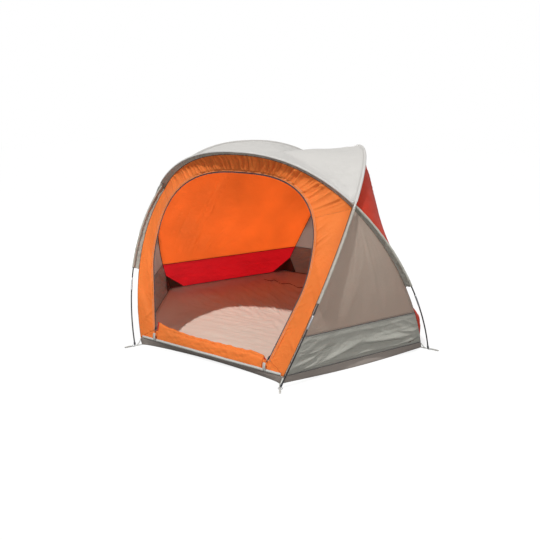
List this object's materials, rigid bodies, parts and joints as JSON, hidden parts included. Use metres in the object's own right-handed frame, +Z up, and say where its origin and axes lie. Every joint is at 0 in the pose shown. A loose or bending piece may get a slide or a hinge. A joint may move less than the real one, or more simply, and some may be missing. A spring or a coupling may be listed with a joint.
{
  "type": "beach tent",
  "caption": "Six-sided beach tent on crossed pole hoops, with an arched zip door, mesh side walls, closed rear panels and a tub floor.",
  "frame": {"origin": "on the ground at the centre of the floor, which is the centre of the ring of pole feet", "axes": "+Z up, the door faces -Y, +X to the right of someone who stands in front of the door and looks in"},
  "size_m": [2.5534, 2.2174, 1.3613],
  "materials": {
    "pole_black": "glass-fibre pole, satin black",
    "sleeve_grey": "woven sleeve tape, matte",
    "pin_steel": "bright plated wire",
    "webbing_grey": "woven webbing",
    "floor_sheet": "coated tub-floor sheet",
    "shell_orange": "thin coated weave",
    "door_crimson": "thin coated weave, folded",
    "band_crimson": "thin coated weave",
    "shell_red": "thin coated weave",
    "mesh_taupe": "fine open mesh",
    "band_grey": "thin coated weave",
    "roof_grey": "thin pale weave",
    "zipper_dark": "zipper tape and coil",
    "slider_metal": "cast slider, dark enamel",
    "binding_grey": "woven binding tape"
  },
  "bodies": {
    "tent": {"corner_webbing_1": "webbing_grey", "corner_webbing_2": "webbing_grey", "corner_webbing_3": "webbing_grey", "corner_webbing_4": "webbing_grey", "corner_webbing_5": "webbing_grey", "corner_webbing_6": "webbing_grey", "door_sill": "shell_orange", "door_zipper": "zipper_dark", "floor": "floor_sheet", "foot_pin_1": "pin_steel", "foot_pin_2": "pin_steel", "foot_pin_3": "pin_steel", "foot_pin_4": "pin_steel", "foot_pin_5": "pin_steel", "foot_pin_6": "pin_steel", "front_binding": "binding_grey", "front_pole_section_1": "pole_black", "front_pole_section_2": "pole_black", "front_pole_section_3": "pole_black", "front_pole_section_4": "pole_black", "front_pole_section_5": "pole_black", "front_pole_section_6": "pole_black", "front_pole_section_7": "pole_black", "front_sleeve_long": "sleeve_grey", "front_sleeve_short": "sleeve_grey", "front_wall": "shell_orange", "left_band": "band_grey", "left_mesh": "mesh_taupe", "left_pole_section_1": "pole_black", "left_pole_section_2": "pole_black", "left_pole_section_3": "pole_black", "left_pole_section_4": "pole_black", "left_pole_section_5": "pole_black", "left_pole_section_6": "pole_black", "left_pole_section_7": "pole_black", "left_sleeve_long": "sleeve_grey", "left_sleeve_short": "sleeve_grey", "rear_band": "band_grey", "rear_left_band": "band_crimson", "rear_left_wall": "shell_orange", "rear_mesh": "mesh_taupe", "rear_right_band": "shell_red", "rear_right_wall": "shell_red", "right_band": "band_grey", "right_mesh": "mesh_taupe", "right_pole_section_1": "pole_black", "right_pole_section_2": "pole_black", "right_pole_section_3": "pole_black", "right_pole_section_4": "pole_black", "right_pole_section_5": "pole_black", "right_pole_section_6": "pole_black", "right_pole_section_7": "pole_black", "right_sleeve_long": "sleeve_grey", "right_sleeve_short": "sleeve_grey", "roof": "roof_grey", "stowed_door": "door_crimson"},
    "left_zip_slider": {"left_slider": "slider_metal"},
    "right_zip_slider": {"right_slider": "slider_metal"},
    "left_zip_pull": {"left_pull": "slider_metal"},
    "right_zip_pull": {"right_pull": "slider_metal"}
  },
  "joints": [
    {"name": "left_slider_travel", "type": "slide", "parent": "tent", "child": "left_zip_slider", "axis": [-0.293, 0.3551, 0.8877], "range_m": [0, 0.395]},
    {"name": "left_pull_swing", "type": "hinge", "parent": "left_zip_slider", "child": "left_zip_pull", "pos_m": [-0.47035, -0.96281, 0.14153], "axis": [-0.9561, -0.1088, -0.272], "range_deg": [0, 150]},
    {"name": "right_slider_travel", "type": "slide", "parent": "tent", "child": "right_zip_slider", "axis": [0.293, 0.3551, 0.8877], "range_m": [0, 0.395]},
    {"name": "right_pull_swing", "type": "hinge", "parent": "right_zip_slider", "child": "right_zip_pull", "pos_m": [0.47035, -0.96281, 0.14153], "axis": [-0.9561, 0.1088, 0.272], "range_deg": [0, 150]}
  ]
}
